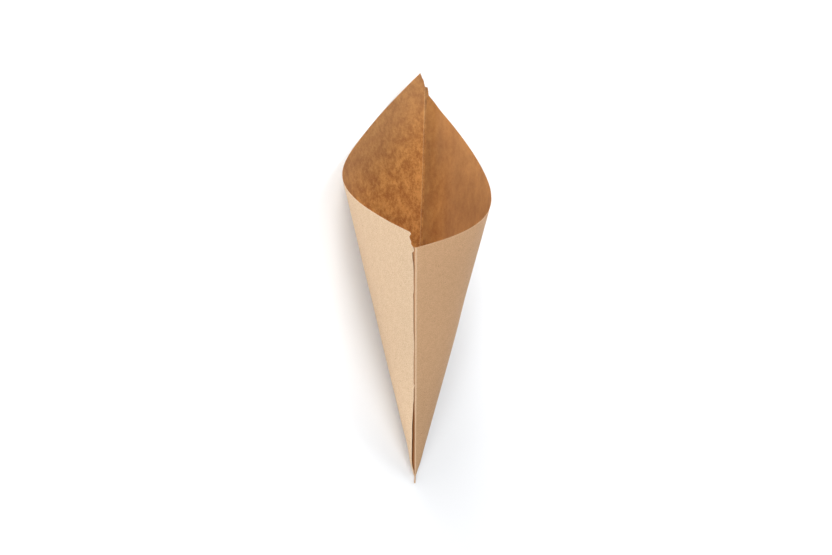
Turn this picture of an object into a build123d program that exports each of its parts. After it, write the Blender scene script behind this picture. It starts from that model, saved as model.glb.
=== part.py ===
from build123d import *
import math
import os

# A pointed bag rolled from one near-square sheet of kraft paper.
# One corner of the sheet is the tip. The sheet is folded once on its diagonal, the back
# crease, and once more where a glue flap turns in under the left panel, the front crease.
# Opened for filling, each panel bows outwards, so the bag is a cone over a leaf-shaped
# section. Lengths are millimetres and angles are degrees.

# The blank, measured along and across each panel's front crease
right_height = 181.4       # tip to mouth up the front crease
right_skew = 1.6           # how far the right panel's mouth is cut out of square
left_height = 190.0        # tip to mouth up the left panel's seam edge
panel_angle = 45.0         # angle of one panel at the tip when it lies flat
paper = 0.12               # thickness of the sheet

# The glued seam
flap_width = 12.0          # glue flap, turned in under the left panel
flap_tip_angle = 16.0      # the flap is trimmed to this angle towards the tip
seam_angle = 18.0          # the seam's edges lie within this angle of the front crease
seam_setback = 2.0         # the left panel's raw edge stands back from the fold
groove_foot = 8.0          # the raw edge starts this far up from the tip

# Torn short edges: the front corner and the ear beside the back crease
corner_tear = 16.4         # length of the torn edge down from the front corner
ear_drop = 13.7            # height of the ear above the right panel
ear_width = 5.5            # width of the ear at its peak
ear_angle = 6.0            # the ear stands within this angle of the back crease

# The opened shape: the section one unit above the tip, between two creases
crease_spread = 34.0       # angle between the two creases at the tip
right_bow_shares = [(1.00, -0.02), (0.03, 0.93), (0.13, 1.00)]
left_bow_shares = [(1.00, 0.30), (0.08, 0.54), (0.48, 0.60)]

# The pinched tip, where the folds close on each other
tip_height = 8.0           # the walls end here, in the solid tip
tip_swell = 0.3            # the crushed folds are as wide as the panels this much higher up
nib_height = 1.7           # below this the tip keeps its width
nib_drop = 2.9             # the nib runs on this far below the corner of the blank

# The bag lies on its back left flank
rest_heading = 137.0       # direction of the floor seen down the axis, from +X to +Y

# Points down the torn edge: share of its length, share of the seam's setback
corner_tear_shares = [
    (0.00, 2.10), (0.09, 1.85), (0.22, 2.45), (0.31, 2.10), (0.38, 1.50), (0.49, 1.65),
    (0.58, 1.20), (0.66, 0.60), (0.73, 0.60), (0.79, 0.80), (0.87, 1.30), (1.00, 1.20),
]
# Points up the raw edge: share of the left panel's height, share of the setback
raw_edge_shares = [
    (0.82, 0.90), (0.75, 0.95), (0.59, 0.80), (0.43, 0.60), (0.25, 0.95), (0.10, 1.20),
]
# Points down the ear: share of its drop, share of its width
ear_tear_shares = [
    (0.00, 1.00), (0.19, 0.74), (0.35, 0.50), (0.51, 0.40), (0.60, 0.27),
    (0.66, 0.12), (0.78, 0.18), (0.90, 0.06), (1.00, 0.00),
]

strips_across = 12         # ruled strips across a whole panel
strip_steps = 3            # spans in the curves across each strip
crushed_sides = 8          # flat sides of the crushed tip on each panel
turn_steps = 240           # small steps that measure a panel's angle at the tip
trim_depth = 1.5           # half depth of the cuts beside a crease
trim_reach_share = 2.5     # those cuts run past the paper by this share of the flap's width

trim_reach = trim_reach_share * flap_width
crease_share = math.tan(math.radians(crease_spread / 2))


class Panel:
    """One of the two panels between the creases, bowed out to its flat angle."""

    def __init__(self, side, bow_shares, height, skew):
        self.side = side
        self.bow_shares = bow_shares
        self.height = height
        self.skew = math.tan(math.radians(skew))
        low, high = 0.0, 2.0
        for _ in range(50):
            self.bow = (low + high) / 2
            if self.turn(1.0) < math.radians(panel_angle):
                low = self.bow
            else:
                high = self.bow

    def handles(self):
        """Control points of the section from the front crease to the back crease."""
        inner = [(self.side * self.bow * a, crease_share * b) for a, b in self.bow_shares]
        return [(0.0, -crease_share)] + inner + [(0.0, crease_share)]

    def section(self, share):
        points = self.handles()
        order = len(points) - 1
        weights = [
            math.comb(order, i) * (1 - share) ** (order - i) * share**i for i in range(order + 1)
        ]
        return tuple(sum(w * p[k] for w, p in zip(weights, points)) for k in (0, 1))

    def heading(self, share):
        """Unit direction along the section, from the front crease to the back."""
        points = self.handles()
        order = len(points) - 1
        steps = [(b[0] - a[0], b[1] - a[1]) for a, b in zip(points, points[1:])]
        weights = [
            math.comb(order - 1, i) * (1 - share) ** (order - 1 - i) * share**i
            for i in range(order)
        ]
        x, y = (sum(w * s[k] for w, s in zip(weights, steps)) for k in (0, 1))
        return x / math.hypot(x, y), y / math.hypot(x, y)

    def inward(self, share):
        """Unit normal of the section that points into the bag."""
        x, y = self.heading(share)
        return -self.side * y, self.side * x

    def ruling(self, share):
        """Unit direction from the tip up the panel."""
        return Vector(*self.section(share), 1.0).normalized()

    def turn(self, share):
        """Angle on the flat panel between the front crease and a ruling, in radians."""
        steps = max(1, round(turn_steps * share))
        lines = [self.ruling(share * i / steps) for i in range(steps + 1)]
        return sum(2 * math.asin((b - a).length / 2) for a, b in zip(lines, lines[1:]))

    def share_at(self, angle):
        """Where on the section a ruling lies that leaves the front crease at an angle."""
        low, high = 0.0, 1.0
        for _ in range(30):
            share = (low + high) / 2
            if self.turn(share) < angle:
                low = share
            else:
                high = share
        return share

    def mouth(self, share):
        """Height above the tip where a ruling meets the panel's mouth edge."""
        turn = self.turn(share)
        length = self.height / (math.cos(turn) + self.skew * math.sin(turn))
        return length * self.ruling(share).Z


def corner(front, layers):
    """Offset from a crease to the line where a right and a left layer meet."""
    share = 0.0 if front else 1.0
    a, b = right.inward(share)
    c, d = left.inward(share)
    p, q = (layer * paper for layer in layers)
    size = a * d - b * c
    return (p * d - b * q) / size, (a * q - p * c) / size


def layer_curve(panel, shares, height, layer, corners):
    """Curve across a panel, a number of sheets in from its outer face."""
    points = []
    for share in shares:
        x, y = panel.section(share)
        z = height(share)
        n = panel.inward(share)
        offset = corners.get((share, layer), (layer * paper * n[0], layer * paper * n[1]))
        points.append(Vector(z * x + offset[0], z * y + offset[1], z))
    return Edge.make_spline(points, parameters=shares)


def slab(panel, span, height, layers, corners):
    """Part of a panel as a solid: ruled strips that run from the tip to the mouth."""
    outer, inner = layers
    first, last = span
    count = max(1, round(strips_across * (last - first)))
    ends = [first + (last - first) * i / count for i in range(count + 1)]

    def foot(share):
        return tip_height

    def ruled(a, b):
        return Face.make_surface_from_curves(a, b)

    faces = []
    for a, b in zip(ends, ends[1:]):
        shares = [a + (b - a) * i / strip_steps for i in range(strip_steps + 1)]
        low_out = layer_curve(panel, shares, foot, outer, corners)
        low_in = layer_curve(panel, shares, foot, inner, corners)
        top_out = layer_curve(panel, shares, height, outer, corners)
        top_in = layer_curve(panel, shares, height, inner, corners)
        faces += [ruled(low_out, top_out), ruled(low_in, top_in)]
        faces += [ruled(low_out, low_in), ruled(top_out, top_in)]
        for share, end in ((a, 0), (b, 1)):
            if share in span:
                low = Edge.make_line(low_out @ end, low_in @ end)
                top = Edge.make_line(top_out @ end, top_in @ end)
                faces.append(ruled(low, top))
    return Solid(Shell(faces))


def crease_plane(panel, front):
    """Plane at a crease: x across the panel, y up the crease, z out of the panel."""
    share = 0.0 if front else 1.0
    sign = 1 if front else -1
    x, y = panel.heading(share)
    up = panel.ruling(share)
    across = Vector(sign * x, sign * y, 0)
    across = (across - up * across.dot(up)).normalized()
    return Plane(origin=(0, 0, 0), x_dir=across, z_dir=across.cross(up))


def trim(plane, points, depth):
    """Prism that cuts the paper square to its face beside a crease."""
    outline = Polyline(*points, close=True)
    return extrude(plane * make_face(outline), amount=depth, both=True)


def right_panel():
    corners = {
        (0.0, 0): corner(True, (0, 1)),
        (0.0, 1): corner(True, (1, 2)),
        (1.0, 0): corner(False, (0, 0)),
        (1.0, 1): corner(False, (1, 1)),
    }
    return slab(right, (0.0, 1.0), right.mouth, (0, 1), corners)


def left_panel():
    corners = {(1.0, 0): corner(False, (0, 0)), (1.0, 1): corner(False, (1, 1))}
    seam_share = left.share_at(math.radians(seam_angle))
    ear_share = left.share_at(math.radians(panel_angle - ear_angle))
    fold = {(0.0, 1): corner(True, (0, 1))}
    seam_strip = slab(left, (0.0, seam_share), left.mouth, (0, 1), fold)
    flank = slab(left, (seam_share, ear_share), left.mouth, (0, 1), {})
    ear_strip = slab(left, (ear_share, 1.0), left.mouth, (0, 1), corners)

    # The raw edge and the torn front corner, in blank lengths beside the crease
    edge = [
        (seam_setback * b, left_height - corner_tear * a) for a, b in corner_tear_shares
    ]
    edge += [(seam_setback * b, left_height * a) for a, b in raw_edge_shares]
    edge.append((seam_setback, groove_foot))
    top = (edge[0][0], left_height + trim_reach)
    away = [(-trim_reach, groove_foot), (-trim_reach, left_height + trim_reach)]
    seam_strip -= trim(crease_plane(left, True), [top] + edge + away, trim_depth)

    # The ear beside the back crease
    peak = crease_top + ear_drop
    ear = [(ear_width * b, peak - ear_drop * a) for a, b in ear_tear_shares]
    top = peak + trim_reach
    away = [(-trim_reach, crease_top), (-trim_reach, top), (ear_width, top)]
    ear_strip -= trim(crease_plane(left, False), ear + away, trim_depth)
    return flank + seam_strip + ear_strip


def glue_flap():
    """The flap, one sheet further in than the left panel and cut from the same curves."""
    corners = {(0.0, 1): corner(True, (0, 1)), (0.0, 2): corner(True, (1, 2))}
    seam_share = left.share_at(math.radians(seam_angle))
    sheet = slab(left, (0.0, seam_share), left.mouth, (1, 2), corners)
    taper = flap_width / math.tan(math.radians(flap_tip_angle))
    top = right_height + flap_width * right.skew
    top_at_fold = right_height - trim_reach * right.skew
    strip = [(0, 0), (flap_width, taper), (flap_width, top)]
    strip += [(-trim_reach, top_at_fold), (-trim_reach, 0)]
    return sheet & trim(crease_plane(left, True), strip, trim_reach)


def pinched_tip():
    """Solid end of the folds, flat-sided where they are crushed, with a narrow nib below."""
    shares = [i / crushed_sides for i in range(crushed_sides)]

    def outline(width, z):
        rim = [right.section(s) for s in shares] + [left.section(1 - s) for s in shares]
        return make_face(Polyline(*[(width * x, width * y, z) for x, y in rim], close=True))

    base = outline(tip_height + tip_swell, tip_height)
    neck = outline(nib_height + tip_swell, nib_height)
    end = outline(nib_height + tip_swell, -nib_drop)
    return loft([end, neck, base], ruled=True)


def lie_down(bag):
    """Turn the bag onto its flank, mouth towards +Y, with the floor at zero."""
    facing = math.radians(rest_heading)
    shares = [i / turn_steps for i in range(turn_steps + 1)]
    reach, share = max(
        (x * math.cos(facing) + y * math.sin(facing), s)
        for s in shares
        for x, y in [left.section(s)]
    )
    rim = left.mouth(share)
    lean = math.degrees(math.atan2(reach * (rim - nib_height), rim + nib_drop))
    bag = bag.rotate(Axis.Z, 90 - rest_heading).rotate(Axis.X, lean - 90)
    box = bag.bounding_box()
    return bag.translate((-box.center().X, -box.center().Y, -box.min.Z))


right = Panel(1, right_bow_shares, right_height, right_skew)
left = Panel(-1, left_bow_shares, left_height, 0.0)
crease_top = right_height / (math.cos(math.radians(panel_angle)) * (1 + right.skew))

if __name__ == "__main__":
    os.makedirs("parts", exist_ok=True)
    bag = right_panel() + glue_flap() + left_panel() + pinched_tip()
    export_step(lie_down(bag), "parts/paper_cone.step")
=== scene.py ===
import bmesh
import bpy
import math
from mathutils import Matrix, Vector, noise


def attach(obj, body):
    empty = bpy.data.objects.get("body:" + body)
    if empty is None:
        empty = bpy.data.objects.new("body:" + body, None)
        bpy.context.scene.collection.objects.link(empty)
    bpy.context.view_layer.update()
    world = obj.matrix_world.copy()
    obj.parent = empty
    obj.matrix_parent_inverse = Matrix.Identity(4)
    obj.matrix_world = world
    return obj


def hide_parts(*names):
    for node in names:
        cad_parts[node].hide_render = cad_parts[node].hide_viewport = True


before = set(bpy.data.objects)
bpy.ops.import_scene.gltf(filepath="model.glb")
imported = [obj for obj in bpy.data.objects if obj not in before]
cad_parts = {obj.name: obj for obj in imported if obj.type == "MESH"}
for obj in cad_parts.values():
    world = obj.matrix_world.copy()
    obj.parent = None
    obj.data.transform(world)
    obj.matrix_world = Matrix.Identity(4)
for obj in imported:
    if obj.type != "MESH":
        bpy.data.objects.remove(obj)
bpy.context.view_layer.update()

# The paper cone bag: one kraft sheet, folded on its diagonal (the back crease), with a glue
# flap turned in at the front crease under the left panel. The sheet is rolled here from its
# blank: u runs across a panel from the front crease and v up that crease, in millimetres.

MM = 0.001

# the blank
RIGHT_HEIGHT = 181.4
RIGHT_SKEW = math.tan(math.radians(1.6))
LEFT_HEIGHT = 190.0
QUARTER = math.radians(45.0)
PAPER = 0.12
FLAP_WIDTH = 12.0
FLAP_TIP_SLOPE = math.tan(math.radians(16.0))
CREASE_TOP = RIGHT_HEIGHT / (math.cos(QUARTER) * (1 + RIGHT_SKEW))

# the opened section one unit above the tip
SPREAD = math.tan(math.radians(17.0))
RIGHT_BOW = (0.5367838, ((1.00, -0.02), (0.03, 0.93), (0.13, 1.00)))
LEFT_BOW = (0.5193416, ((1.00, 0.30), (0.08, 0.54), (0.48, 0.60)))
SECTION_STEPS = 900

# how it lies: turned about its axis, laid over, and set on the floor
HEADING = 137.0
LEAN = 13.560054
SHIFT = Vector((-6.67838, -127.61901, 1.15774))

# torn and raw edges of the left panel: across from the front crease, up it
RAW_EDGE = (
    (4.33, 190.0), (3.58, 188.9), (4.87, 186.5), (4.31, 184.9), (3.26, 183.6), (3.44, 181.9),
    (1.69, 180.2), (1.04, 178.9), (1.11, 177.8), (2.52, 176.1), (2.11, 175.2), (1.9, 171.3),
    (1.36, 169.5), (1.16, 162.5), (1.36, 155.3), (1.19, 148.5), (1.74, 147.0), (1.39, 140.2),
    (1.24, 130.9), (1.2, 121.2), (0.9, 114.1), (0.69, 108.8), (0.92, 101.7), (1.12, 94.2),
    (1.02, 86.7), (1.11, 77.7), (0.3, 77.1), (0.25, 76.5), (0.7, 75.8), (0.76, 74.3),
    (0.77, 65.5), (1.34, 61.1), (1.2, 53.3), (1.37, 45.3), (1.3, 35.2), (1.45, 31.7),
    (1.66, 24.5), (2.03, 13.6), (1.95, 11.8), (1.56, 9.1), (0.87, 7.0),
)
EAR = (
    (182.5, 190.0), (182.3, 189.3), (181.5, 187.4), (181.1, 185.2), (180.1, 183.5),
    (179.1, 181.4), (179.5, 180.3), (179.8, 179.8),
)
EAR_FOOT = 179.8
# the same tear beyond the back crease: share of its height left, distance from the crease
EAR_PAST_CREASE = ((0.0, 1.05), (0.35, 0.85), (0.62, 0.6), (1.0, 0.0))
# and the angle on the sheet from which it is looked for
EAR_FROM_ANGLE = 0.6
# the left panel is never narrower than this beside the ear
SLIVER = 0.02
# how far the right panel's mouth edge is off its straight line, by the angle on the sheet
RIGHT_MOUTH = (
    (0.6, 0.786), (0.5, 0.778), (0.0, 0.766), (-0.8, 0.753), (-1.15, 0.74), (-1.0, 0.71),
    (-0.75, 0.66), (-0.5, 0.59), (-0.5, 0.3), (-0.3, 0.11), (-0.4, 0.05), (-0.8, 0.0),
)
RIGHT_MOUTH_FROM = 110.0
MOUTH_HEIGHTS = (150.0, RIGHT_HEIGHT)
# how far the raw edge stands off the flap under it, up the front crease
LIFTS = (
    (0.15, 190.0), (0.2, 180.0), (0.5, 176.0), (0.6, 169.5), (0.4, 160.0), (0.2, 153.0),
    (0.15, 148.0), (0.3, 141.8), (0.45, 128.0), (0.4, 115.0), (0.35, 108.0), (0.3, 97.0),
    (0.3, 82.0), (0.12, 76.5), (0.6, 74.0), (0.6, 66.0), (0.5, 60.0), (1.0, 53.0),
    (1.4, 44.0), (1.4, 31.6), (1.1, 19.0), (0.6, 10.0), (0.3, 4.0),
)

# how far the front fold reaches over the flap and over the right panel
FLAP_FOLD = 0.35
FRONT_FOLD = 1.3
# the back crease: half its rounding, how far it is set to the left of the diagonal, and
# how much of the right panel bends to meet it there
BACK_FOLD = 0.35
CREASE_SET = 1.6
CREASE_BLEND = 7.0
LEFT_BLEND = 0.5
# the front fold is slimmer toward the tip
SLIM_FOLD = 0.65
SLIM_FOLD_GAIN = 0.35
SLIM_FOLD_HEIGHTS = (25.0, 75.0)
# below this height the folds shrink with the cone
FULL_FOLDS_FROM = 10.0
# air over the flap, and how its top edge falls away beside the front fold
FLAP_GAP = 0.02
FLAP_TOP_SLOPE = 0.25
FLAP_TOP_WIDTH = 2.6
# beyond this angle the front crease is taken to be far off
NEAR_FRONT_ANGLE = 0.5
FAR_OFF = 99.0

# columns of the mesh: distances from an edge or a fold, and how many lie between the ends
NEAR_FLAP_FOLD = (0.0, 0.12, 0.24, 0.35, 0.6, 1.0, 1.5)
NEAR_FLAP_EDGE = (0.0, 0.3)
NEAR_FRONT = (0.0, 0.16, 0.32, 0.48, 0.64, 0.8, 0.95, 1.1, 1.25, 1.4, 1.6, 2.4, 4.0)
NEAR_BACK = (0.0, 0.3, 0.6, 0.9, 1.15, 1.3, 1.45, 1.6, 1.75, 1.9, 2.05, 2.3, 3.0, 4.5, 7.0)
NEAR_RAW_EDGE = (0.0, 0.2, 0.45, 0.8, 1.3, 2.1, 3.3, 5.0)
FLAP_COLUMNS = 5
PANEL_COLUMNS = 62

# rows of the mesh: heights up the front crease, each with the step of the rows below it
SHEET_FOOT = 3.2
ROW_STEPS = ((12.0, 0.7), (60.0, 1.7), (82.0, 0.45), (160.0, 2.0), (EAR_FOOT, 0.55))
EAR_STEP = 0.3
RIGHT_ROWS_BEND = 160.0
NEARLY = 1e-6

# waviness of the sheet: height in millimetres, scale across and up, place in the noise
BROAD_WAVES = (0.22, 0.035, 0.020, 3.1)
FINE_WAVES = (0.06, 0.11, 0.07, 7.7)
# places in the noise for the left panel and the ear, so that they don't repeat the rest
LEFT_WAVES_SHIFT = 300.0
EAR_TEAR_SHIFT = 500.0
# distances over which the waves come up from a fold or an edge
CALM_BY_FRONT = (1.2, 7.0)
CALM_BY_BACK = (3.0, 12.0)
CALM_BY_CREASE = (CREASE_SET, 8.0)
CALM_BY_RAW_EDGE = (0.5, 9.0)
# how far the panels' bow is off the plain section toward the tip, and over what heights
# and angles from the two creases
TIP_BOW = 0.5
RIGHT_BOW_HEIGHTS = ((125.0, 90.0), (3.0, 14.0))
RIGHT_BOW_FROM_FRONT = (0.0, 0.35)
RIGHT_BOW_FROM_BACK = (0.0, 0.25)
LEFT_BOW_HEIGHTS = ((38.0, 18.0), (3.0, 9.0))
# fibres on a torn edge: height in millimetres, scale, place in the noise
ROUGH_FIBRES = (0.20, 1.1, 4.4, 0.3)
FINE_FIBRES = (0.12, 2.7, 9.1, 0.6)
RAGGED_CUT = 0.25
RAGGED_TEAR = 0.8
TEAR_HEIGHTS = (173.0, 176.0)
# the raw edge's lift fades over this width, which grows toward the tip
LIFT_WIDTH = 2.2
LIFT_WIDTH_AT_TIP = 1.2
LIFT_TIP_HEIGHTS = (60.0, 20.0)

# the stem at the tip: foot, length, size, narrower foot, flare into the panels, pleats, bend
STEM_FOOT = -2.85
STEM_LENGTH = 10.2
STEM_SIZE = 1.9
STEM_NARROWING = 0.28
STEM_WIDENS_AT = 1.7
STEM_FLARE = 0.86
STEM_FOOT_SPAN = (-2.9, -2.2)
PLEATS = 9
PLEAT_DEPTH = 0.16
PLEAT_TWIST = 0.5
PLEAT_HEIGHTS = (9, 1)
STEM_BEND = 0.04
STEM_BEND_RATE = 0.9
STEM_BEND_HEIGHTS = (3.0, -1.0)
STEM_RINGS = 26
STEM_SIDES = 40
# its marks: grain per turn in millimetres, paleness, painted shade on the cap inside, share of
# inner paper
STEM_SHEET = 8
STEM_PALE = 0.5
STEM_CAP_DARK = 2.5
STEM_INSIDE = 0.4

# vertices nearer than this, in metres, become one
WELD = 2e-7
# what the material reads at each vertex, where a mark that isn't given is 0
MARKS = ("front_fold", "back_fold", "torn", "glue", "pale", "shade", "dull", "inside")


def between(rows, value):
    """The first number of each row, read off at a value of the second, which falls."""
    for (a, high), (b, low) in zip(rows, rows[1:]):
        if value >= low:
            share = (value - low) / (high - low) if high > low else 0.0
            return b + (a - b) * min(max(share, 0.0), 1.0)
    return rows[-1][0]


def smooth(low, high, value):
    """0 at low, 1 at high and beyond, with soft ends; high may be the smaller number."""
    share = min(max((value - low) / (high - low), 0.0), 1.0)
    return share * share * (3 - 2 * share)


def bell(distance, width):
    """1 at no distance, falling off to both sides over a width."""
    return math.exp(-(distance / width) ** 2)


def within(rise, fall, value):
    """1 between two spans that smooth() reads, 0 beyond them."""
    return smooth(*rise, value) * smooth(*fall, value)


def lay(point):
    """From the cone's own axes, tip at the origin, to where it lies on the floor."""
    turned = Matrix.Rotation(math.radians(90 - HEADING), 3, "Z")
    lean = Matrix.Rotation(math.radians(LEAN - 90), 3, "X")
    return (lean @ turned @ point + SHIFT) * MM


class Panel:
    """A panel between the creases, read by the angle it has on the flat sheet."""

    def __init__(self, side, bow):
        reach, shares = bow
        inner = [(side * reach * a, SPREAD * b) for a, b in shares]
        self.points = [(0.0, -SPREAD)] + inner + [(0.0, SPREAD)]
        self.lines = [self.line(i / SECTION_STEPS) for i in range(SECTION_STEPS + 1)]
        turns = [0.0]
        for a, b in zip(self.lines, self.lines[1:]):
            turns.append(turns[-1] + 2 * math.asin((b - a).length / 2))
        self.turns = [t * QUARTER / turns[-1] for t in turns]

    def line(self, share):
        """Direction from the tip to a point of the section, a Bezier curve."""
        n = len(self.points) - 1
        x = y = 0.0
        for i, (a, b) in enumerate(self.points):
            w = math.comb(n, i) * (1 - share) ** (n - i) * share ** i
            x += w * a
            y += w * b
        return Vector((x, y, 1.0)).normalized()

    def ruling(self, turn):
        """The straight line of the cone at an angle on the sheet, and the way inward."""
        low, high = 0, len(self.turns) - 1
        while high - low > 1:
            mid = (low + high) // 2
            if self.turns[mid] <= turn:
                low = mid
            else:
                high = mid
        share = (turn - self.turns[low]) / (self.turns[high] - self.turns[low])
        line = self.lines[low].lerp(self.lines[high], share).normalized()
        along = (self.lines[high] - self.lines[low]).normalized()
        inward = line.cross(along).normalized()
        if inward.dot(Vector((0, 0, 1)) - line / line.z) < 0:
            inward = -inward
        return line, inward


right = Panel(1, RIGHT_BOW)
left = Panel(-1, LEFT_BOW)


def waves(u, v, kind):
    """Smooth noise over the sheet, in millimetres."""
    height, across, up, place = kind
    return height * noise.noise(Vector((u * across, v * up, place)))


def ripple(u, v):
    """Slight unevenness of the handled sheet, in millimetres."""
    return waves(u, v, BROAD_WAVES) + waves(u, v, FINE_WAVES)


def fibres(v, kind):
    """Noise along an edge, in millimetres."""
    height, scale, place, more = kind
    return height * noise.noise(Vector((v * scale, place, more)))


def ragged(v, span):
    """Fibres that stand out of a torn edge, in millimetres."""
    return span * (fibres(v, ROUGH_FIBRES) + fibres(v, FINE_FIBRES))


def fold(a, b, c, share):
    """A point on the rounded fold between two panels; c is the sharp crease."""
    return a * (1 - share) ** 2 + c * 2 * share * (1 - share) + b * share ** 2


def shrink(v):
    """How small the folds are near the tip, where the panels are narrow."""
    return min(1.0, v / FULL_FOLDS_FROM)


def offsets(width, near, far, middle):
    """Distances across a panel, close together beside its two ends."""
    scale = min(1.0, width / (3.0 * (near[-1] + far[-1])))
    a = [n * scale for n in near]
    b = [width - f * scale for f in reversed(far)]
    step = (b[0] - a[-1]) / (middle + 1)
    return a + [a[-1] + step * (i + 1) for i in range(middle)] + b


def blank_uv(turn, reach):
    """Place on the flat sheet, with the front crease of the right panel as its side."""
    return (reach * math.sin(turn) * MM, reach * math.cos(turn) * MM)


def right_height_at(v, turn):
    """Distance from the tip where a straight row of the right panel meets a ruling."""
    return v / (math.cos(turn) + RIGHT_SKEW * math.sin(turn))


def right_reach(v, turn, extra):
    """The same distance with the mouth edge's own line and the ear's tear added."""
    reach = right_height_at(v, turn)
    reach += between(RIGHT_MOUTH, turn) * smooth(RIGHT_MOUTH_FROM, RIGHT_HEIGHT, v)
    if turn > EAR_FROM_ANGLE and extra > 0:
        reach += extra * between(EAR_PAST_CREASE, reach * math.sin(QUARTER - turn))
    if turn < 0:
        across_flap = min(v * math.tan(-turn), FLAP_TOP_WIDTH)
        reach -= FLAP_TOP_SLOPE * across_flap * smooth(*MOUTH_HEIGHTS, v)
    return reach


def right_point(v, turn, extra):
    """Place and inward direction on the right panel, or on the flap below 0."""
    panel = right if turn >= 0 else left
    line, inward = panel.ruling(min(abs(turn), QUARTER))
    under = 0.0 if turn >= 0 else PAPER + FLAP_GAP
    return line * right_reach(v, turn, extra) + inward * under, inward


def right_turns(v, crease_reach):
    """Angles of a row's vertices: flap's inner edge, front crease, back crease."""
    small = shrink(v)
    flap = min(FLAP_WIDTH, v * FLAP_TIP_SLOPE)
    across = offsets(flap, [w * small for w in NEAR_FLAP_FOLD],
                     [w * small for w in NEAR_FLAP_EDGE], FLAP_COLUMNS)
    turns = [-math.atan2(w, v) for w in reversed(across[1:])]
    mid = (v + crease_reach) / 2
    return turns + [w / mid for w in offsets(QUARTER * mid, NEAR_FRONT, NEAR_BACK, PANEL_COLUMNS)]


def front_fold(v, extra, w_front, flap_side, panel_side):
    """The rounded front crease, where the flap turns into the right panel."""
    a, a_in = right_point(v, -math.atan2(flap_side, v), extra)
    b, b_in = right_point(v, math.atan2(panel_side, v), extra)
    share = (w_front + flap_side) / (flap_side + panel_side)
    crease = right_point(v, 0.0, extra)[0]
    return fold(a, b, crease, share), a_in.lerp(b_in, share).normalized()


def back_fold(reach, q, small):
    """The back crease, folded a little to the left of the diagonal. q runs across it from
    the left panel, below 0, to the right one."""
    set_off, blend = CREASE_SET * small, CREASE_BLEND * small
    half = BACK_FOLD * small

    def left_of(w):
        line, inward = left.ruling(QUARTER - math.asin(min(w / reach, 1.0)))
        return line * reach, inward

    def right_of(w):
        if w < 0:
            line, inward = right.ruling(QUARTER)
            return line * reach + Vector((w, 0.0, 0.0)), inward
        line, inward = right.ruling(QUARTER - math.asin(min(w / reach, 1.0)))
        return line * reach, inward

    def bent(w):
        gap = left_of(set_off)[0] - right_of(-set_off)[0]
        share = 1.0 - min(max((w + set_off) / (blend + set_off), 0.0), 1.0)
        place, inward = right_of(w)
        return place + gap * share * share, inward

    if q <= -set_off - half:
        return left_of(-q)
    if q >= -set_off + half:
        return bent(q)
    a, a_in = left_of(set_off + half)
    b, b_in = bent(half - set_off)
    share = (q + set_off + half) / (2 * half)
    return fold(a, b, left_of(set_off)[0], share), a_in.lerp(b_in, share).normalized()


def right_wave(v, turn, reach, w_front, w_back):
    """How far the right panel stands inward: its waves, less the wider bow near the tip."""
    calm = smooth(*CALM_BY_FRONT, w_front) * smooth(*CALM_BY_BACK, w_back)
    wave = ripple(reach * math.sin(turn), reach * math.cos(turn)) * calm
    open_tip = TIP_BOW * within(*RIGHT_BOW_HEIGHTS, v)
    open_tip *= smooth(*RIGHT_BOW_FROM_FRONT, turn)
    return wave - open_tip * smooth(*RIGHT_BOW_FROM_BACK, QUARTER - turn)


# painted light, in units of shade, with the widths and the heights that it works over
RIGHT_PALE = 0.15
CREASE_DARK = 1.3
CREASE_DARK_WIDTH = 12.0
EAR_DARK = 0.4
EAR_DARK_HEIGHTS = (145.0, 165.0)
EAR_DARK_AT = 4.0
EAR_DARK_WIDTH = 6.0
LINE_PALE = 1.8
LINE_PALE_LESS = 1.1
LINE_PALE_LESS_HEIGHTS = (120.0, 150.0)
LINE_WIDTH = 0.9
RIGHT_TIP_DARK = 0.5
RIGHT_TIP_HEIGHTS = (120.0, 40.0)
RIGHT_MOUTH_PALE = 0.25
LEFT_TIP_PALE = 0.5
LEFT_TIP_HEIGHTS = (110.0, 40.0)
PAST_CREASE_DARK = 0.6
PAST_CREASE_WIDTH = 3.0
LEFT_PALE = 0.5
LEFT_CREASE_PALE = 0.6
LEFT_CREASE_PALE_WIDTH = 30.0
LEFT_FAR_PALE = 0.7
LEFT_FAR_PALE_SPAN = (25.0, 60.0)
LEFT_TOP_DARK = 1.8
LEFT_TOP_HEIGHTS = (140.0, LEFT_HEIGHT)


def right_inner_shade(v, w_back):
    """Darker toward the back crease, most of all by the ear; the crease's line is pale."""
    from_line = w_back + CREASE_SET
    toward_crease = CREASE_DARK * bell(from_line, CREASE_DARK_WIDTH) - RIGHT_PALE
    by_the_ear = EAR_DARK * smooth(*EAR_DARK_HEIGHTS, v)
    by_the_ear *= bell(w_back - EAR_DARK_AT, EAR_DARK_WIDTH)
    pale_line = LINE_PALE - LINE_PALE_LESS * smooth(*LINE_PALE_LESS_HEIGHTS, v)
    return toward_crease + by_the_ear - pale_line * bell(from_line, LINE_WIDTH)


def right_outer_shade(v):
    """Darker toward the tip, a little lighter at the mouth."""
    tip = RIGHT_TIP_DARK * smooth(*RIGHT_TIP_HEIGHTS, v)
    return tip - RIGHT_MOUTH_PALE * smooth(*MOUTH_HEIGHTS, v)


def left_inner_shade(v, beside):
    """Paler over the whole panel, less so at the ear, and darker just past the crease."""
    shade = PAST_CREASE_DARK * math.exp(beside / PAST_CREASE_WIDTH)
    if beside >= 0:
        shade = -LEFT_PALE - LEFT_CREASE_PALE * bell(beside, LEFT_CREASE_PALE_WIDTH)
        shade -= LEFT_FAR_PALE * smooth(*LEFT_FAR_PALE_SPAN, beside)
    return shade + LEFT_TOP_DARK * smooth(*LEFT_TOP_HEIGHTS, v)


# glue and painted shade on the flap, in the gap under the raised raw edge: where they start
# behind the front fold, and how strongly they show
GLUE_START = -0.3
GLUE_START_BACK = 0.25
GLUE_START_HEIGHTS = (45.0, 75.0)
GLUE_EDGE = 0.4
GLUE_AND_SHADE_SHARE = 0.68
GLUE_AND_SHADE_AT_TIP = 0.27
GLUE_TIP_HEIGHTS = (82.0, 45.0)
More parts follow.
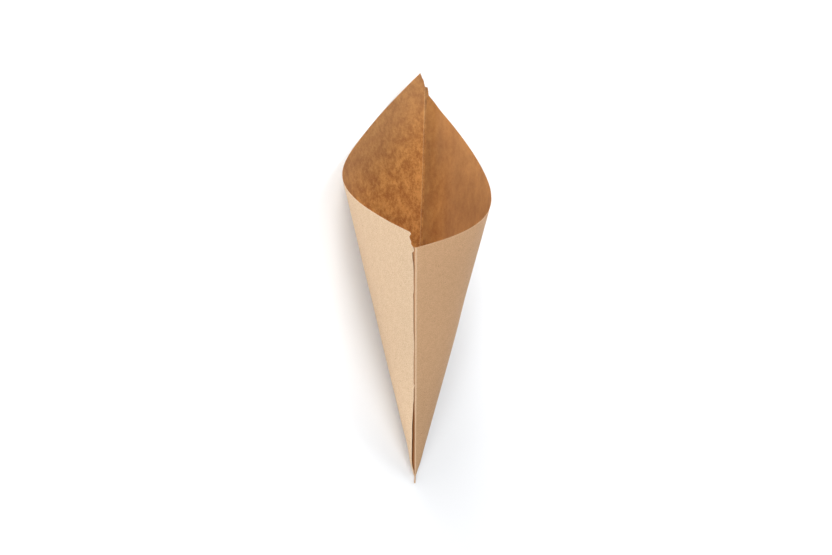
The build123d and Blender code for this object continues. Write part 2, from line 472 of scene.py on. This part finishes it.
# painted light: the inner face greyer and paler away from the crease on the right panel and at
# the top of the left one
RIGHT_DULL_SPAN = (6.0, 25.0)
EAR_DULL = 0.8
EAR_DULL_HEIGHTS = (140.0, 165.0)
EAR_DULL_SPAN = (5.0, 10.0)
LEFT_DULL = 0.9
LEFT_DULL_HEIGHTS = (150.0, LEFT_HEIGHT)
# worn and torn paper, with painted highlights: across the front fold, whose rubbed ridge also
# carries a painted highlight, beside the raw edges, and on the mouth's edge, whose paler rim is a
# painted highlight
FRONT_WEAR_AND_HIGHLIGHT_START = (-0.2, 0.2)
FRONT_WEAR_AND_HIGHLIGHT_END = (0.95, 1.25)
BACK_LINE_WIDTH = 0.35
TORN_WIDTH = 0.5
TORN_CUT = 0.5
TORN_TEAR = 0.3
TORN_EAR = 0.25
MOUTH_EDGE_HIGHLIGHT_RIGHT = 0.35
MOUTH_EDGE_HIGHLIGHT_LEFT = 0.6
TORN_LESS_INSIDE = 0.7


def right_glue_and_shade(v, across):
    """Glue and painted shade on the flap under the raised raw edge, from just behind the front
    fold, and stronger toward the tip.
    """
    start = GLUE_START - GLUE_START_BACK * smooth(*GLUE_START_HEIGHTS, v)
    share = GLUE_AND_SHADE_SHARE + GLUE_AND_SHADE_AT_TIP * smooth(*GLUE_TIP_HEIGHTS, v)
    return smooth(start, start - GLUE_EDGE, across) * share


def right_dull(v, w_back):
    """Painted light: the right panel's inner face greyer away from the back crease, and nearer to
    it by the ear.
    """
    by_the_ear = EAR_DULL * smooth(*EAR_DULL_HEIGHTS, v) * smooth(*EAR_DULL_SPAN, w_back)
    return max(by_the_ear, smooth(*RIGHT_DULL_SPAN, w_back))


def right_row(v, crease_reach, top):
    """One row of flap and right panel, from the flap's inner edge to the back crease."""
    small = shrink(v)
    flap_side = FLAP_FOLD * small
    slim = SLIM_FOLD + SLIM_FOLD_GAIN * smooth(*SLIM_FOLD_HEIGHTS, v)
    panel_side = FRONT_FOLD * small * slim
    extra = crease_reach - right_height_at(v, QUARTER)
    row = []
    for turn in right_turns(v, crease_reach):
        reach = right_reach(v, turn, extra)
        w_front = v * math.tan(turn) if turn < NEAR_FRONT_ANGLE else FAR_OFF
        w_back = reach * math.sin(QUARTER - turn)
        place, inward = right_point(v, turn, extra)
        if -flap_side < w_front < panel_side:
            place, inward = front_fold(v, extra, w_front, flap_side, panel_side)
        if w_back < CREASE_BLEND * small:
            place, inward = back_fold(reach, w_back, small)
        if turn >= 0:
            place = place + inward * right_wave(v, turn, reach, w_front, w_back)
        on_front = smooth(*FRONT_WEAR_AND_HIGHLIGHT_START, w_front / small)
        on_front *= 1.0 - smooth(*FRONT_WEAR_AND_HIGHLIGHT_END, w_front / (small * slim))
        row.append((place, inward, blank_uv(turn, reach), {
            "front_fold": on_front,
            # the top row's paler rim is a painted highlight on the mouth's edge
            "torn": MOUTH_EDGE_HIGHLIGHT_RIGHT if top else 0.0,
            # glue and painted shade on the lap under the raised raw edge
            "glue": right_glue_and_shade(v, w_front / small),
            "shade": (right_outer_shade(v), right_inner_shade(v, w_back)),
            "dull": right_dull(v, w_back),
        }))
    return row


def left_row(v, top):
    """One row of the left panel from its raw edge to the back crease or the ear."""
    small = shrink(v)
    torn = smooth(*TEAR_HEIGHTS, v)
    raised = between(LIFTS, v)
    start = between(RAW_EDGE, v) + ragged(v, RAGGED_CUT + RAGGED_TEAR * torn)
    meets_crease = v <= EAR_FOOT + NEARLY
    ear_edge = min(between(EAR, v) + ragged(v + EAR_TEAR_SHIFT, 1.0), v - SLIVER)
    first = math.atan2(start, v)
    last = QUARTER if meets_crease else math.atan2(ear_edge, v)
    mid = (v + v / math.cos(QUARTER)) / 2
    width = max((last - first) * mid, SLIVER)
    lift_width = LIFT_WIDTH + LIFT_WIDTH_AT_TIP * smooth(*LIFT_TIP_HEIGHTS, v) + raised
    row = []
    for w in offsets(width, NEAR_RAW_EDGE, NEAR_BACK, PANEL_COLUMNS):
        turn = first + w / mid
        reach = v / math.cos(turn)
        u = v * math.tan(turn)
        w_back = reach * math.sin(QUARTER - turn)
        line, inward = left.ruling(min(turn, QUARTER))
        place = line * reach
        if w_back < (CREASE_SET + LEFT_BLEND) * small:
            place, inward = back_fold(reach, -w_back, small)
        calm = smooth(*CALM_BY_CREASE, w_back) * smooth(*CALM_BY_RAW_EDGE, u - start)
        shut_tip = TIP_BOW * within(*LEFT_BOW_HEIGHTS, v) * calm
        lift = raised * bell(u - start, lift_width)
        place = place + inward * (ripple(u + LEFT_WAVES_SHIFT, v) * calm + shut_tip - lift)
        beside = w_back - CREASE_SET * small
        torn_edge = bell(u - start, TORN_WIDTH) * (TORN_CUT + TORN_TEAR * torn)
        if not meets_crease:
            from_ear = v * math.tan(last) - u
            torn_edge = max(torn_edge, TORN_EAR * bell(from_ear, TORN_WIDTH))
        row.append((place, inward, blank_uv(2 * QUARTER - turn, reach), {
            "back_fold": bell(beside, BACK_LINE_WIDTH),
            # torn fibres on the raw edge and the ear, and on the top row a painted highlight on
            # the mouth's edge
            "torn": max(torn_edge, MOUTH_EDGE_HIGHLIGHT_LEFT if top else 0.0),
            "pale": 1.0,
            "shade": (-LEFT_TIP_PALE * smooth(*LEFT_TIP_HEIGHTS, v),
                      left_inner_shade(v, beside)),
            "dull": LEFT_DULL * smooth(*LEFT_DULL_HEIGHTS, v),
        }))
    return row


def rows_between(low, high, step):
    """Even heights above low, up to high, about a step apart."""
    count = max(1, round((high - low) / step))
    return [low + (high - low) * (i + 1) / count for i in range(count)]


def right_row_height(v):
    """Height of the right panel's row that meets the left panel's at the back crease."""
    square = CREASE_TOP * math.cos(QUARTER)
    if v <= RIGHT_ROWS_BEND:
        return v * RIGHT_HEIGHT / square
    bend = RIGHT_ROWS_BEND * RIGHT_HEIGHT / square
    return bend + (v - RIGHT_ROWS_BEND) * (RIGHT_HEIGHT - bend) / (EAR_FOOT - RIGHT_ROWS_BEND)


def build_sheet():
    """Outer and inner skin of both panels, and the rims that close their edges."""
    heights = [SHEET_FOOT]
    for high, step in ROW_STEPS:
        heights += rows_between(heights[-1], high, step)
    left_heights = heights + rows_between(heights[-1], LEFT_HEIGHT, EAR_STEP)
    last = heights[-1]
    grids = (
        (False, [right_row(right_row_height(v), v / math.cos(QUARTER), v == last)
                 for v in heights]),
        (True, [left_row(v, v == left_heights[-1]) for v in left_heights]),
    )
    verts, faces, data, rims = [], [], [], []
    for is_left, grid in grids:
        n_rows, n_cols = len(grid), len(grid[0])
        base = len(verts)
        for side in (0, 1):
            for row in grid:
                for place, inward, uv, marks in row:
                    verts.append(lay(place + inward * (PAPER * side)))
                    torn = marks["torn"] * (1 - TORN_LESS_INSIDE * side)
                    data.append((uv, dict(marks, torn=torn, shade=marks["shade"][side],
                                          inside=float(side))))

        def at(side, j, i):
            return base + (side * n_rows + j) * n_cols + i

        for j in range(n_rows - 1):
            for i in range(n_cols - 1):
                outer = (at(0, j, i), at(0, j, i + 1), at(0, j + 1, i + 1), at(0, j + 1, i))
                inner = (at(1, j, i), at(1, j + 1, i), at(1, j + 1, i + 1), at(1, j, i + 1))
                faces.append(outer[::-1] if is_left else outer)
                faces.append(inner[::-1] if is_left else inner)
        for j in range(n_rows - 1):
            ends = [0]
            if is_left and left_heights[j] >= EAR_FOOT - NEARLY:
                ends.append(n_cols - 1)
            for i in ends:
                rim = (at(0, j, i), at(0, j + 1, i), at(1, j + 1, i), at(1, j, i))
                rims.append(rim[::-1] if is_left != (i != 0) else rim)
        for i in range(n_cols - 1):
            for j in (0, n_rows - 1):
                rim = (at(0, j, i), at(1, j, i), at(1, j, i + 1), at(0, j, i + 1))
                rims.append(rim[::-1] if is_left == (j == 0) else rim)
    return verts, faces, rims, data


def stem_size(z):
    """How wide the stem is at a height: narrower at its foot, flared into the panels."""
    if z < STEM_WIDENS_AT:
        return STEM_SIZE - STEM_NARROWING + STEM_NARROWING * smooth(*STEM_FOOT_SPAN, z)
    return STEM_SIZE + (z - STEM_WIDENS_AT) * STEM_FLARE


def build_stem():
    """The crushed folds at the tip: a narrow stem that widens into the panels."""
    verts, faces, data = [], [], []
    for j in range(STEM_RINGS + 1):
        z = STEM_FOOT + j / STEM_RINGS * STEM_LENGTH
        cap = float(j == STEM_RINGS)
        for i in range(STEM_SIDES):
            t = i / STEM_SIDES
            panel, share = (right, t * 2) if t < 0.5 else (left, 2 - t * 2)
            line = panel.line(share)
            wave = abs(math.sin(PLEATS * math.pi * t + PLEAT_TWIST * z))
            pleat = 1.0 - PLEAT_DEPTH * wave * smooth(*PLEAT_HEIGHTS, z)
            bend = STEM_BEND * math.sin(z * STEM_BEND_RATE) * smooth(*STEM_BEND_HEIGHTS, z)
            x = line.x / line.z * stem_size(z) * pleat + bend
            y = line.y / line.z * stem_size(z) * pleat
            verts.append(lay(Vector((x, y, z))))
            data.append(((t * STEM_SHEET * MM, z * MM), {
                "torn": smooth(*reversed(STEM_FOOT_SPAN), z),
                "pale": STEM_PALE,
                "shade": STEM_CAP_DARK * cap,
                "inside": STEM_INSIDE + (1 - STEM_INSIDE) * cap,
            }))
    for j in range(STEM_RINGS):
        low, high = j * STEM_SIDES, (j + 1) * STEM_SIDES
        for i in range(STEM_SIDES):
            k = (i + 1) % STEM_SIDES
            faces.append((low + i, low + k, high + k, high + i))
    faces.append(tuple(range(STEM_SIDES))[::-1])
    faces.append(tuple(STEM_RINGS * STEM_SIDES + i for i in range(STEM_SIDES)))
    return verts, faces, data


def make_object():
    """The sheet and its stem as one mesh, with its UV and its marks."""
    verts, faces, rims, data = build_sheet()
    stem_verts, stem_faces, stem_data = build_stem()
    base = len(verts)
    verts += stem_verts
    faces += [tuple(base + i for i in face) for face in stem_faces]
    data += stem_data
    mesh = bpy.data.meshes.new("paper_sheet")
    mesh.from_pydata([tuple(v) for v in verts], [], faces + rims)
    layer = mesh.uv_layers.new(name="Sheet")
    for loop in mesh.loops:
        layer.data[loop.index].uv = data[loop.vertex_index][0]
    for name in MARKS:
        attribute = mesh.attributes.new(name, "FLOAT", "POINT")
        for i, (_, marks) in enumerate(data):
            attribute.data[i].value = marks.get(name, 0.0)
    for polygon in mesh.polygons:
        polygon.use_smooth = polygon.index < len(faces)

    # the panels' skins become one at the back crease; the rims keep sharp edges
    welded = bmesh.new()
    welded.from_mesh(mesh)
    bmesh.ops.remove_doubles(welded, verts=welded.verts, dist=WELD)
    for edge in welded.edges:
        edge.smooth = all(face.smooth for face in edge.link_faces)
    welded.to_mesh(mesh)
    welded.free()
    mesh.update()
    piece = bpy.data.objects.new("paper_sheet", mesh)
    bpy.context.scene.collection.objects.link(piece)
    return piece


# Material: tones as they show on a screen, 0 to 255, dark before light in each pair

# the outer face of the right panel and of the left one, paler with painted light, then the inner
# face, the same paper, darker and warmer with painted shade and light shining through
OUTER_SHADED_SIDE = ((206, 165, 124), (221, 181, 141))
OUTER_LIT_SIDE = ((211, 181, 147), (227, 201, 168))
INNER = ((144, 87, 35), (188, 130, 66))
# knots and flocks of pulp: tone, and the values of the pattern between which it comes up
KNOTS = (((122, 68, 23), 0.50, 0.66), ((198, 144, 80), 0.46, 0.32))
FLOCKS = (((138, 82, 34), 0.50, 0.70), ((196, 142, 78), 0.48, 0.32))
# painted light: the paler, greyer tone that the dull mark lays over the inner face
DULL = (162, 122, 84)
GRAIN = (168, 124, 82)
BARK = (120, 78, 44)
FRONT_WEAR_AND_HIGHLIGHT = (232, 205, 173)
WORN_BACK = (226, 180, 128)
TORN_AND_HIGHLIGHT = (234, 210, 178)
# glue with painted shade on the lap
GLUE_AND_SHADE = (150, 92, 46)
# direction on the sheet, stretch, threshold, tone, share, and whether the inside has it too
FIBRES = (
    (12, (0.55, 3.4, 1.0), 0.60, (150, 106, 66), 0.34, True),
    (-38, (0.6, 3.0, 1.0), 0.62, (164, 118, 74), 0.28, False),
    (64, (0.6, 3.2, 1.0), 0.61, (244, 220, 190), 0.32, False),
)
DIAGONAL = 45
FIBRE_EDGE = 0.16
# patterns of the paper: scale, detail, roughness, and for the fibres distortion
FIBRE_NOISE = (1.0, 2.0, 0.6, 0.4)
CLOUDS = (0.26, 3.0, 0.6)
LUMPS = (0.75, 3.0, 0.65)
GRAINS = (3.2, 3.0, 0.7)
FINE_PULP = (1.3, 3.0, 0.65)
RUB = (1.0, 3.0, 0.6)
RUB_STRETCH = (2.2, 0.35, 1.0)
# patterns along the diagonal: length and width in millimetres, detail, roughness
BLOTCHES = (9.0, 7.0, 6.0, 0.74)
BANDS = (14.0, 8.0, 6.0, 0.66)
KNOT_SPOTS = (2.5, 2.1, 3.0, 0.6)
# values of the patterns between which the second tone takes over from the first
PULP_SPAN = (0.43, 0.57)
BLOTCH_SPAN = (0.25, 0.75)
INNER_SPAN = (0.30, 0.70)
GRAIN_SPAN = (0.35, 0.75)
FRONT_WEAR_AND_HIGHLIGHT_SPAN = (0.15, 0.62)
WORN_BACK_SPAN = (0.3, 0.7)
# bark specks: cells per millimetre, and where in a cell a speck ends and is full
BARK_CELLS = 0.16
BARK_EDGE = (0.075, 0.03)
# shares of the fine pulp in the outer face, and of the stains laid over the paper
FINE_SHARE = 0.78
INNER_STAIN = 0.20
DULL_SHARE = 0.4
GRAIN_SHARE = 0.16
BARK_SHARE = 0.45
FRONT_WEAR_AND_HIGHLIGHT_SHARE = 0.75
WORN_BACK_SHARE = 0.45
TORN_AND_HIGHLIGHT_SHARE = 0.55
# the surface: roughness outside and inside, its unevenness, shine, and height of the pulp
ROUGH_OUTSIDE, ROUGH_INSIDE = 0.58, 0.82
ROUGH_GRAIN = 0.12
SPECULAR = 0.35
BUMP_STRENGTH = 0.35
BUMP_HEIGHT = 0.00018
WARM = (1.0, 0.80, 0.52, 1.0)
# how much darker one unit of shade makes the paper, and the light that comes through it
SHADE_STEP = 0.20
SHINE_THROUGH = 0.19


def linear(tone):
    """A tone of the screen as the linear colour that Blender takes."""
    def one(c):
        c /= 255
        return c / 12.92 if c <= 0.04045 else ((c + 0.055) / 1.055) ** 2.4
    return tuple(one(c) for c in tone) + (1.0,)


class Nodes:
    """Short calls that add nodes to one material or world; each gives its output socket."""

    def __init__(self, owner):
        self.tree = owner.node_tree
        self.tree.nodes.clear()

    def put(self, socket, value):
        if isinstance(value, bpy.types.NodeSocket):
            self.tree.links.new(value, socket)
        else:
            socket.default_value = value

    def add(self, kind, inputs=None, **settings):
        """One node of a kind; unlike the calls below it gives the node."""
        node = self.tree.nodes.new(kind)
        for key, value in settings.items():
            setattr(node, key, value)
        for key, value in (inputs or {}).items():
            self.put(node.inputs[key], value)
        return node

    def times(self, a, b):
        return self.add("ShaderNodeMath", {0: a, 1: b}, operation="MULTIPLY").outputs[0]

    def plus(self, a, b):
        return self.add("ShaderNodeMath", {0: a, 1: b}, operation="ADD").outputs[0]

    def minus(self, a, b):
        return self.add("ShaderNodeMath", {0: a, 1: b}, operation="SUBTRACT").outputs[0]

    def larger(self, a, b):
        return self.add("ShaderNodeMath", {0: a, 1: b}, operation="MAXIMUM").outputs[0]

    def mix(self, share, a, b, blend="MIX"):
        inputs = {0: share, 6: a, 7: b}
        node = self.add("ShaderNodeMix", data_type="RGBA", blend_type=blend)
        for index, value in inputs.items():
            self.put(node.inputs[index], value)
        return node.outputs[2]

    def stain(self, colour, share, tone):
        """A share of a tone laid over a colour."""
        return self.mix(share, colour, linear(tone))

    def attribute(self, name):
        return self.add("ShaderNodeAttribute", attribute_name=name).outputs["Fac"]

    def noise(self, vector, scale, detail, rough, distortion=0.0):
        return self.add("ShaderNodeTexNoise", {
            "Vector": vector, "Scale": scale, "Detail": detail, "Roughness": rough,
            "Distortion": distortion}, noise_dimensions="3D").outputs["Fac"]

    def mapped(self, vector, turn, stretch, kind="POINT"):
        return self.add("ShaderNodeMapping", {
            "Vector": vector, "Rotation": (0, 0, math.radians(turn)),
            "Scale": stretch}, vector_type=kind).outputs[0]

    def diagonal(self, vector, pattern):
        """A pattern stretched along the sheet's diagonal."""
        length, width, detail, rough = pattern
        along = self.mapped(vector, DIAGONAL, (length, width, 1.0), "TEXTURE")
        return self.noise(along, 1.0, detail, rough)

    def ramp(self, value, low, high, start=0.0, end=1.0):
        """From start at low to end at high."""
        return self.add("ShaderNodeMapRange", {
            "Value": value, "From Min": low, "From Max": high,
            "To Min": start, "To Max": end}).outputs[0]


def outer_face(n, pale, cloud, fine):
    """Clouds of thicker and thinner pulp; the left panel is paler than the right, with painted
    light.
    """
    pulp = n.ramp(n.mix(FINE_SHARE, cloud, fine), *PULP_SPAN)
    shaded_side = n.mix(pulp, linear(OUTER_SHADED_SIDE[0]), linear(OUTER_SHADED_SIDE[1]))
    lit_side = n.mix(pulp, linear(OUTER_LIT_SIDE[0]), linear(OUTER_LIT_SIDE[1]))
    return n.mix(pale, shaded_side, lit_side)


def inner_face(n, sheet, pale, fine):
    """The left panel is blotched all over, with darker knots of pulp, and the right panel
    has soft bands that run up the back crease; the left's stronger blotches and knots are
    painted light, the pulp's clouds as light shining through the sheet shows them."""
    blotches = n.ramp(n.diagonal(sheet, BLOTCHES), *BLOTCH_SPAN)
    bands = n.diagonal(sheet, BANDS)
    knot = n.diagonal(sheet, KNOT_SPOTS)
    pulp = n.plus(n.times(pale, blotches), n.times(n.minus(1.0, pale), bands))
    colour = n.mix(n.ramp(pulp, *INNER_SPAN), linear(INNER[0]), linear(INNER[1]))
    depth = n.plus(n.times(pale, INNER_STAIN), INNER_STAIN)
    for pattern, stains in ((knot, KNOTS), (fine, FLOCKS)):
        for tone, low, high in stains:
            colour = n.stain(colour, n.times(n.ramp(pattern, low, high), depth), tone)
    return n.stain(colour, n.times(n.attribute("dull"), DULL_SHARE), DULL)


def marked(n, colour, sheet, grain, outside):
    """Fibres, grain and specks of bark in the paper."""
    for turn, stretch, low, tone, share, on_both in FIBRES:
        lines = n.noise(n.mapped(sheet, turn, stretch), *FIBRE_NOISE)
        amount = n.times(n.ramp(lines, low, low + FIBRE_EDGE), share)
        if not on_both:
            amount = n.times(amount, outside)
        colour = n.stain(colour, amount, tone)
    colour = n.stain(colour, n.times(n.ramp(grain, *GRAIN_SPAN), GRAIN_SHARE), GRAIN)
    cells = n.add("ShaderNodeTexVoronoi", {"Vector": sheet, "Scale": BARK_CELLS,
                  "Randomness": 1.0}, feature="F1")
    speck = n.ramp(cells.outputs["Distance"], *BARK_EDGE)
    return n.stain(colour, n.times(speck, BARK_SHARE), BARK)


def handled(n, colour, sheet):
    """Rubbed fold lines and torn fibres are paler, with painted highlights on the front fold's
    ridge and the mouth's edge, and glue with painted shade darkens the lap under the raised raw
    edge.
    """
    rub = n.noise(n.mapped(sheet, 0, RUB_STRETCH), *RUB)
    front_wear_and_highlight = n.times(n.attribute("front_fold"), n.ramp(rub, *FRONT_WEAR_AND_HIGHLIGHT_SPAN))
    rubbed = n.times(n.attribute("back_fold"),
                     n.times(n.ramp(rub, *WORN_BACK_SPAN), WORN_BACK_SHARE))
    colour = n.stain(colour, n.times(front_wear_and_highlight, FRONT_WEAR_AND_HIGHLIGHT_SHARE), FRONT_WEAR_AND_HIGHLIGHT)
    colour = n.stain(colour, rubbed, WORN_BACK)
    colour = n.stain(colour, n.times(n.attribute("torn"), TORN_AND_HIGHLIGHT_SHARE), TORN_AND_HIGHLIGHT)
    return n.stain(colour, n.attribute("glue"), GLUE_AND_SHADE)


def kraft_paper():
    """The sheet's material, driven by place on the flat sheet and by the marks."""
    material = bpy.data.materials.new("kraft_paper")
    material.use_nodes = True
    n = Nodes(material)
    flat = n.add("ShaderNodeUVMap", uv_map="Sheet").outputs[0]
    sheet = n.add("ShaderNodeVectorMath", {0: flat, 1: (1 / MM, 1 / MM, 1 / MM)},
                  operation="MULTIPLY").outputs[0]
    inside = n.attribute("inside")
    pale = n.attribute("pale")
    cloud = n.noise(sheet, *CLOUDS)
    lumps = n.noise(sheet, *LUMPS)
    grain = n.noise(sheet, *GRAINS)
    fine = n.noise(sheet, *FINE_PULP)

    face = n.mix(inside, outer_face(n, pale, cloud, fine), inner_face(n, sheet, pale, fine))
    dim = n.minus(1.0, n.times(n.attribute("shade"), SHADE_STEP))
    colour = n.add("ShaderNodeVectorMath", {0: face, "Scale": dim},
                   operation="SCALE").outputs[0]
    colour = marked(n, colour, sheet, grain, n.minus(1.0, inside))
    colour = handled(n, colour, sheet)

    # a dull sheet, rougher inside, that lets a little warm light through
    even = n.ramp(inside, 0.0, 1.0, ROUGH_OUTSIDE, ROUGH_INSIDE)
    rough = n.plus(even, n.times(n.minus(grain, 0.5), ROUGH_GRAIN))
    height = n.plus(n.times(lumps, 0.5), n.times(grain, 0.5))
    bump = n.add("ShaderNodeBump", {"Height": height, "Strength": BUMP_STRENGTH,
                 "Distance": BUMP_HEIGHT})
    paper = n.add("ShaderNodeBsdfPrincipled", {
        "Base Color": colour, "Roughness": rough, "Specular IOR Level": SPECULAR,
        "Normal": bump.outputs[0]})
    through = n.mix(1.0, colour, WARM, "MULTIPLY")
    glow = n.add("ShaderNodeBsdfTranslucent", {"Color": through, "Normal": bump.outputs[0]})
    surface = n.add("ShaderNodeMixShader", {
        0: SHINE_THROUGH, 1: paper.outputs[0], 2: glow.outputs[0]})
    n.add("ShaderNodeOutputMaterial", {"Surface": surface.outputs[0]})
    return material


bag = make_object()
bag.data.materials.append(kraft_paper())
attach(bag, "root")
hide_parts("paper_cone")


# Floor, camera and light

FLOOR_HALF = 3.0
FLOOR_SINK = 0.0002
FLOOR_COLOUR = (0.74, 0.75, 0.765, 1.0)
# the floor glows to white between these distances; only cameras, mirrors and glass see it
FLOOR_GLOW_FROM, FLOOR_GLOW_TO = 0.25, 0.9
FLOOR_GLOW_LEAST = 0.08

LENS = 79.92
SENSOR_WIDTH = 36.0
CAMERA_SEES = (0.01, 20.0)
CAMERA_PLACE = (-0.7817017, 0.1628478, 0.8798645)
CAMERA_RIGHT = Vector((0.717088, -0.146032, 0.681513))
CAMERA_UP = Vector((0.198984, 0.980003, 0.000620))
CAMERA_FORWARD = Vector((0.667975, -0.135165, -0.731806))

# name, place, where it aims, side of the square, watts
LAMPS = (
    ("key", (-2.2, -0.9, 0.84), (0.0, 0.0, 0.04), 1.0, 47.0),
    ("mouth", (-0.2, 2.3, 1.6), (0.0, 0.05, 0.04), 1.2, 17.0),
    ("deep", (-0.5, 2.4, 0.7), (0.0, 0.05, 0.04), 1.2, 104.0),
    ("back", (1.8, 0.6, 1.0), (0.0, 0.0, 0.04), 1.2, 29.0),
    ("top", (0.1, 0.1, 2.4), (0.0, 0.0, 0.04), 1.6, 22.0),
)
WORLD_LIGHT = 0.13
WORLD_SEEN = 1.0


def white_floor():
    """A floor that takes the bag's shadow and glows to the white of the world around."""
    mesh = bpy.data.meshes.new("floor")
    corners = [(-FLOOR_HALF, -FLOOR_HALF, 0), (FLOOR_HALF, -FLOOR_HALF, 0),
               (FLOOR_HALF, FLOOR_HALF, 0), (-FLOOR_HALF, FLOOR_HALF, 0)]
    mesh.from_pydata(corners, [], [(0, 1, 2, 3)])
    floor = bpy.data.objects.new("floor", mesh)
    bpy.context.scene.collection.objects.link(floor)
    material = bpy.data.materials.new("floor_white")
    material.use_nodes = True
    n = Nodes(material)
    face = n.add("ShaderNodeBsdfDiffuse", {"Color": FLOOR_COLOUR})
    path = n.add("ShaderNodeLightPath").outputs
    mirrored = n.larger(path["Is Glossy Ray"], path["Is Transmission Ray"])
    seen = n.larger(path["Is Camera Ray"], mirrored)
    place = n.add("ShaderNodeNewGeometry").outputs["Position"]
    away = n.add("ShaderNodeVectorMath", {0: place}, operation="LENGTH").outputs["Value"]
    glow = n.ramp(away, FLOOR_GLOW_FROM, FLOOR_GLOW_TO, FLOOR_GLOW_LEAST, 1.0)
    shine = n.add("ShaderNodeEmission", {"Color": (1, 1, 1, 1), "Strength": n.times(seen, glow)})
    surface = n.add("ShaderNodeAddShader", {0: face.outputs[0], 1: shine.outputs[0]})
    n.add("ShaderNodeOutputMaterial", {"Surface": surface.outputs[0]})
    mesh.materials.append(material)
    floor.location = (0, 0, -FLOOR_SINK)
    return floor


def add_camera():
    data = bpy.data.cameras.new("camera")
    data.sensor_fit = "HORIZONTAL"
    data.sensor_width = SENSOR_WIDTH
    data.lens = LENS
    data.clip_start, data.clip_end = CAMERA_SEES
    camera = bpy.data.objects.new("camera", data)
    axes = Matrix((CAMERA_RIGHT, CAMERA_UP, -CAMERA_FORWARD)).transposed().to_4x4()
    camera.matrix_world = Matrix.Translation(CAMERA_PLACE) @ axes
    bpy.context.scene.collection.objects.link(camera)
    bpy.context.scene.camera = camera


def add_lamp(name, place, target, side, power):
    data = bpy.data.lights.new(name, "AREA")
    data.shape = "RECTANGLE"
    data.size = side
    data.size_y = side
    data.energy = power
    light = bpy.data.objects.new(name, data)
    light.location = place
    aim = Vector(target) - Vector(place)
    light.rotation_euler = aim.to_track_quat("-Z", "Y").to_euler()
    bpy.context.scene.collection.objects.link(light)


def add_world():
    """A dim white studio that the camera sees as plain white."""
    world = bpy.data.worlds.new("studio")
    bpy.context.scene.world = world
    world.use_nodes = True
    n = Nodes(world)
    seen = n.add("ShaderNodeLightPath").outputs["Is Camera Ray"]
    strength = n.ramp(seen, 0.0, 1.0, WORLD_LIGHT, WORLD_SEEN)
    sky = n.add("ShaderNodeBackground", {"Color": (1, 1, 1, 1), "Strength": strength})
    n.add("ShaderNodeOutputWorld", {"Surface": sky.outputs[0]})


white_floor()
add_camera()
for lamp in LAMPS:
    add_lamp(*lamp)
add_world()
bpy.context.scene.view_settings.view_transform = "Standard"
